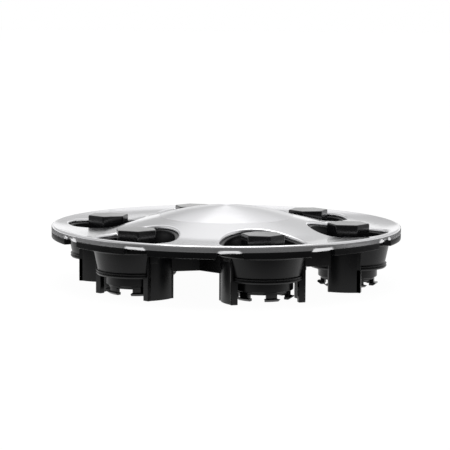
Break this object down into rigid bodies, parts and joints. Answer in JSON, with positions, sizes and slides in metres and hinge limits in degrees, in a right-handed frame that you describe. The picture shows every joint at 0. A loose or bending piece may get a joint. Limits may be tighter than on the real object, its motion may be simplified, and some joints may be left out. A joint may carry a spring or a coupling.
{
  "type": "wheel centre cap",
  "caption": "Round wheel centre cap with a spun metal dome face on a black moulded carrier, and captive hex lug caps that turn in its wells and screw onto the wheel's lugs.",
  "frame": {"origin": "on the wheel's axis, in the plane of the leg feet", "axes": "+Z along the wheel's axis, out of the metal face; +X through the first lug"},
  "size_m": [0.1968, 0.1968, 0.0436],
  "materials": {
    "face": "bright spun aluminium with fine circular brushing",
    "carrier": "semi-gloss black moulded plastic",
    "lug_cap": "satin black moulded plastic"
  },
  "bodies": {
    "base": {"face_plate": "face", "carrier": "carrier"},
    "lug_cap_1": {"lug_cap_1": "lug_cap"},
    "lug_cap_2": {"lug_cap_2": "lug_cap"},
    "lug_cap_3": {"lug_cap_3": "lug_cap"},
    "lug_cap_4": {"lug_cap_4": "lug_cap"},
    "lug_cap_5": {"lug_cap_5": "lug_cap"},
    "lug_cap_6": {"lug_cap_6": "lug_cap"}
  },
  "joints": [
    {"name": "lug_cap_1_spin", "type": "hinge", "parent": "base", "child": "lug_cap_1", "pos_m": [0.06985, 0, 0.02], "axis": [0, 0, 1], "continuous": true},
    {"name": "lug_cap_2_spin", "type": "hinge", "parent": "base", "child": "lug_cap_2", "pos_m": [0.03492, 0.06049, 0.02], "axis": [0, 0, 1], "continuous": true},
    {"name": "lug_cap_3_spin", "type": "hinge", "parent": "base", "child": "lug_cap_3", "pos_m": [-0.03492, 0.06049, 0.02], "axis": [0, 0, 1], "continuous": true},
    {"name": "lug_cap_4_spin", "type": "hinge", "parent": "base", "child": "lug_cap_4", "pos_m": [-0.06985, 0, 0.02], "axis": [0, 0, 1], "continuous": true},
    {"name": "lug_cap_5_spin", "type": "hinge", "parent": "base", "child": "lug_cap_5", "pos_m": [-0.03492, -0.06049, 0.02], "axis": [0, 0, 1], "continuous": true},
    {"name": "lug_cap_6_spin", "type": "hinge", "parent": "base", "child": "lug_cap_6", "pos_m": [0.03492, -0.06049, 0.02], "axis": [0, 0, 1], "continuous": true}
  ]
}
